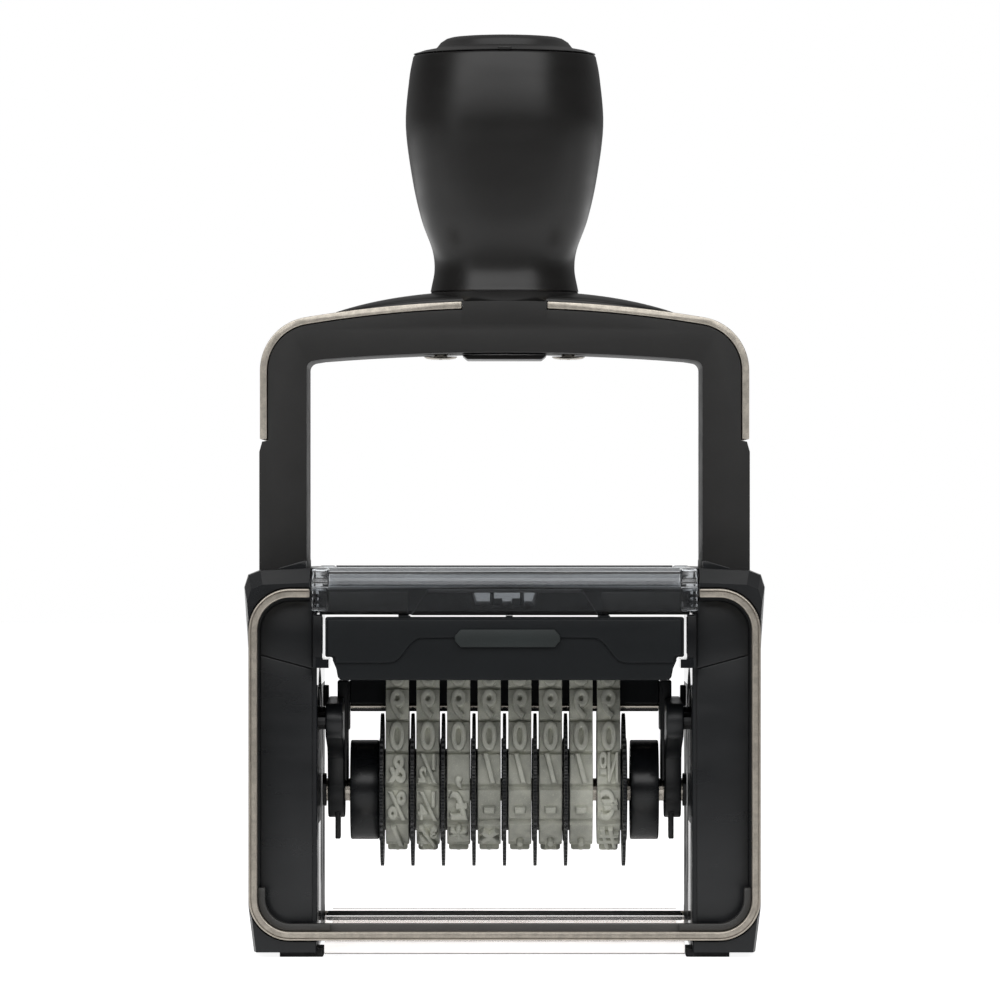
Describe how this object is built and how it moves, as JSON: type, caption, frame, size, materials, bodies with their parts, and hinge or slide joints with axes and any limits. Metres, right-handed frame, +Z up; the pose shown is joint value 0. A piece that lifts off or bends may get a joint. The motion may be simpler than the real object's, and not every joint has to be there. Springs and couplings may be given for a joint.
{
  "type": "rotary date stamp",
  "caption": "Self-inking band stamp: a knob and arched yoke press a type carrier that turns over from an ink drawer to the paper inside a framed base.",
  "frame": {"origin": "bottom centre of the bounding box, on the paper", "axes": "+Z up, front with the drawer at -Y, +X to the right seen from the front"},
  "size_m": [0.0912, 0.065, 0.1611],
  "materials": {
    "black_plastic": "satin moulded plastic, slightly bluish black",
    "satin_black": "fine satin, warm black",
    "beige_metal": "fine brushed, warm grey",
    "steel": "bright turned steel",
    "smoke_plastic": "clear smoked plastic",
    "clear_plastic": "clear plastic",
    "band_rubber": "matte grey-green rubber",
    "foot_rubber": "matte black rubber",
    "ink_felt": "ink-soaked felt"
  },
  "bodies": {
    "base": {"housing_left": "black_plastic", "foot_front_left": "foot_rubber", "foot_rear_left": "foot_rubber", "housing_right": "black_plastic", "foot_front_right": "foot_rubber", "foot_rear_right": "foot_rubber", "rim_front": "beige_metal", "rail_front": "black_plastic", "window_front": "clear_plastic", "top_cover_front": "smoke_plastic", "rim_rear": "beige_metal", "rail_rear": "black_plastic", "window_rear": "clear_plastic", "top_cover_rear": "smoke_plastic", "top_bridge": "black_plastic", "return_spring_left": "steel", "return_spring_right": "steel"},
    "drawer": {"ink_cassette": "black_plastic", "ink_pad": "ink_felt"},
    "yoke": {"yoke_shell": "satin_black", "strip_left": "beige_metal", "strip_right": "beige_metal", "saddle": "satin_black", "knob": "satin_black", "knob_cap": "satin_black", "knob_bolt": "steel", "fixing_plate": "black_plastic", "fixing_screw_left": "steel", "fixing_screw_right": "steel", "pivot_pin_left": "steel", "pivot_pin_right": "steel"},
    "carrier": {"carrier_plate_left": "black_plastic", "carrier_plate_right": "black_plastic", "nose_bar": "black_plastic", "guide_rod": "steel", "wheel_axle": "steel", "axle_clip_left": "steel", "axle_clip_right": "steel", "spacer_left": "black_plastic", "spacer_right": "black_plastic", "cam_pin_left": "steel", "cam_pin_right": "steel", "band_1": "band_rubber", "band_2": "band_rubber", "band_3": "band_rubber", "band_4": "band_rubber", "band_5": "band_rubber", "band_6": "band_rubber", "band_7": "band_rubber", "band_8": "band_rubber"},
    "thumb_wheel_1": {"wheel_1": "black_plastic"},
    "thumb_wheel_2": {"wheel_2": "black_plastic"},
    "thumb_wheel_3": {"wheel_3": "black_plastic"},
    "thumb_wheel_4": {"wheel_4": "black_plastic"},
    "thumb_wheel_5": {"wheel_5": "black_plastic"},
    "thumb_wheel_6": {"wheel_6": "black_plastic"},
    "thumb_wheel_7": {"wheel_7": "black_plastic"},
    "thumb_wheel_8": {"wheel_8": "black_plastic"}
  },
  "joints": [
    {"name": "yoke_press", "type": "slide", "parent": "base", "child": "yoke", "axis": [0, 0, -1], "range_m": [0, 0.027], "stiffness_N_per_m": 700, "springref_m": -0.009, "deforming": ["return_spring_left", "return_spring_right"]},
    {"name": "carrier_flip", "type": "hinge", "parent": "yoke", "child": "carrier", "pos_m": [0, 0, 0.0405], "axis": [-1, 0, 0], "range_deg": [0, 180]},
    {"name": "drawer_slide", "type": "slide", "parent": "base", "child": "drawer", "axis": [0, -1, 0], "range_m": [0, 0.055]},
    {"name": "wheel_1_turn", "type": "hinge", "parent": "carrier", "child": "thumb_wheel_1", "pos_m": [-0.0189, 0, 0.0278], "axis": [1, 0, 0], "continuous": true},
    {"name": "wheel_2_turn", "type": "hinge", "parent": "carrier", "child": "thumb_wheel_2", "pos_m": [-0.0135, 0, 0.0278], "axis": [1, 0, 0], "continuous": true},
    {"name": "wheel_3_turn", "type": "hinge", "parent": "carrier", "child": "thumb_wheel_3", "pos_m": [-0.0081, 0, 0.0278], "axis": [1, 0, 0], "continuous": true},
    {"name": "wheel_4_turn", "type": "hinge", "parent": "carrier", "child": "thumb_wheel_4", "pos_m": [-0.0027, 0, 0.0278], "axis": [1, 0, 0], "continuous": true},
    {"name": "wheel_5_turn", "type": "hinge", "parent": "carrier", "child": "thumb_wheel_5", "pos_m": [0.0027, 0, 0.0278], "axis": [1, 0, 0], "continuous": true},
    {"name": "wheel_6_turn", "type": "hinge", "parent": "carrier", "child": "thumb_wheel_6", "pos_m": [0.0081, 0, 0.0278], "axis": [1, 0, 0], "continuous": true},
    {"name": "wheel_7_turn", "type": "hinge", "parent": "carrier", "child": "thumb_wheel_7", "pos_m": [0.0135, 0, 0.0278], "axis": [1, 0, 0], "continuous": true},
    {"name": "wheel_8_turn", "type": "hinge", "parent": "carrier", "child": "thumb_wheel_8", "pos_m": [0.01835, 0, 0.0278], "axis": [1, 0, 0], "continuous": true}
  ],
  "couplings": [
    {"joint": "carrier_flip", "follows": "yoke_press", "rad_per_m": 116.35}
  ]
}
